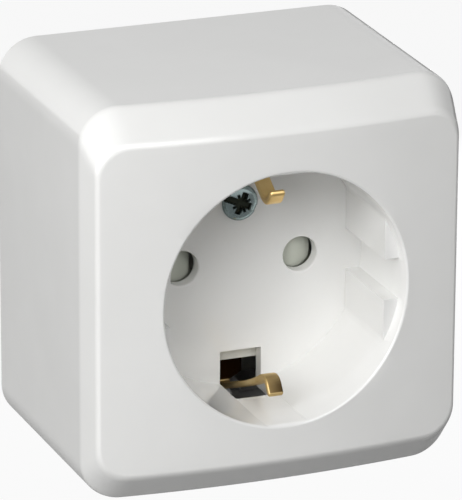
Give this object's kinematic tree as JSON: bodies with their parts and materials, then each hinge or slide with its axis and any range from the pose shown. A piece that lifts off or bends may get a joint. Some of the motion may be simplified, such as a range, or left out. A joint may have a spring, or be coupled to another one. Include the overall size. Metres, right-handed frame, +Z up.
{
  "type": "surface mounted socket",
  "caption": "Surface mounted earthed socket: crowned square cover with a round shuttered recess, spring earth clips, and a wall plate with screw slots and a rear cable entry.",
  "frame": {"origin": "centre of the back face, on the wall", "axes": "+Y into the wall, +Z up, +X to the right as seen from the room"},
  "size_m": [0.059, 0.0425, 0.061],
  "materials": {
    "cover_plastic": "glossy white",
    "plate_plastic": "moulded grey",
    "carrier_plastic": "moulded dark grey",
    "pale_plastic": "moulded pale grey",
    "shutter_plastic": "moulded pale grey",
    "brass": "rolled strip",
    "spring_steel": "drawn wire and strip",
    "zinc_steel": "bright zinc plating"
  },
  "bodies": {
    "housing": {"cover": "cover_plastic", "wall_plate": "plate_plastic", "contact_carrier": "carrier_plastic", "contact_cover": "pale_plastic", "shutter_spring": "spring_steel", "line_contact": "brass", "neutral_contact": "brass", "line_grip_spring": "spring_steel", "neutral_grip_spring": "spring_steel", "line_clamps": "zinc_steel", "neutral_clamps": "zinc_steel", "line_terminal_screws": "zinc_steel", "neutral_terminal_screws": "zinc_steel", "earth_strap": "brass", "earth_clamp": "zinc_steel", "earth_terminal_screw": "zinc_steel", "cover_screw": "zinc_steel", "cover_nut": "zinc_steel", "mechanism_screws": "zinc_steel"},
    "shutter": {"shutter": "shutter_plastic"}
  },
  "joints": [
    {"name": "shutter_slide", "type": "slide", "parent": "housing", "child": "shutter", "axis": [-1, 0, 0], "range_m": [0, 0.0052], "stiffness_N_per_m": 40, "springref_m": -0.003, "deforming": ["shutter_spring"]}
  ]
}
